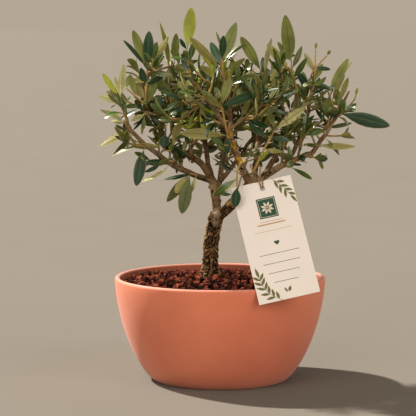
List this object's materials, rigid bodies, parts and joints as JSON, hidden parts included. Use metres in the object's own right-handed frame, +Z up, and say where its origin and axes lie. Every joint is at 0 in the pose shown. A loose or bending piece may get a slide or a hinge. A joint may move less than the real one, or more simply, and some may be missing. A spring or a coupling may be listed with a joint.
{
  "type": "potted olive bonsai",
  "caption": "Small olive tree with a leaning trunk, spreading boughs and an airy leafy crown, growing in a round clay bowl of soil, with a blank gift card tied on by twine.",
  "frame": {"origin": "centre of the bowl's flat underside", "axes": "+Z up the plant; the front is -Y, where the card hangs, with +X to its right"},
  "size_m": [0.275, 0.2012, 0.352],
  "materials": {
    "clay": "matte, fine grained",
    "soil": "rough red-brown granules",
    "bark": "rough, plated",
    "foliage": "leathery leaves, satin above and silvery below",
    "card": "uncoated",
    "twine": "twisted fibre"
  },
  "bodies": {
    "root": {"bowl": "clay", "soil": "soil", "trunk": "bark", "left_stem": "bark", "right_stem": "bark", "low_left_bough": "bark", "mid_left_bough": "bark", "mid_left_upper_bough": "bark", "back_left_bough": "bark", "back_centre_bough": "bark", "middle_bough": "bark", "centre_bough": "bark", "centre_left_bough": "bark", "centre_upper_bough": "bark", "right_bough": "bark", "far_right_bough": "bark", "upper_right_bough": "bark", "inner_bough": "bark", "back_right_bough": "bark", "far_left_foliage": "foliage", "low_left_foliage": "foliage", "left_under_foliage": "foliage", "top_left_foliage": "foliage", "mid_left_foliage": "foliage", "upper_left_foliage": "foliage", "inner_left_foliage": "foliage", "lower_left_foliage": "foliage", "top_centre_foliage": "foliage", "centre_front_foliage": "foliage", "centre_low_foliage": "foliage", "centre_right_foliage": "foliage", "top_right_foliage": "foliage", "right_centre_foliage": "foliage", "right_upper_foliage": "foliage", "right_mid_foliage": "foliage", "far_right_foliage": "foliage", "right_low_foliage": "foliage", "back_left_foliage": "foliage", "back_centre_foliage": "foliage", "back_right_foliage": "foliage", "back_low_left_foliage": "foliage", "back_low_right_foliage": "foliage", "front_left_foliage": "foliage", "front_right_foliage": "foliage", "card_tag": "card", "twine": "twine"}
  },
  "joints": []
}
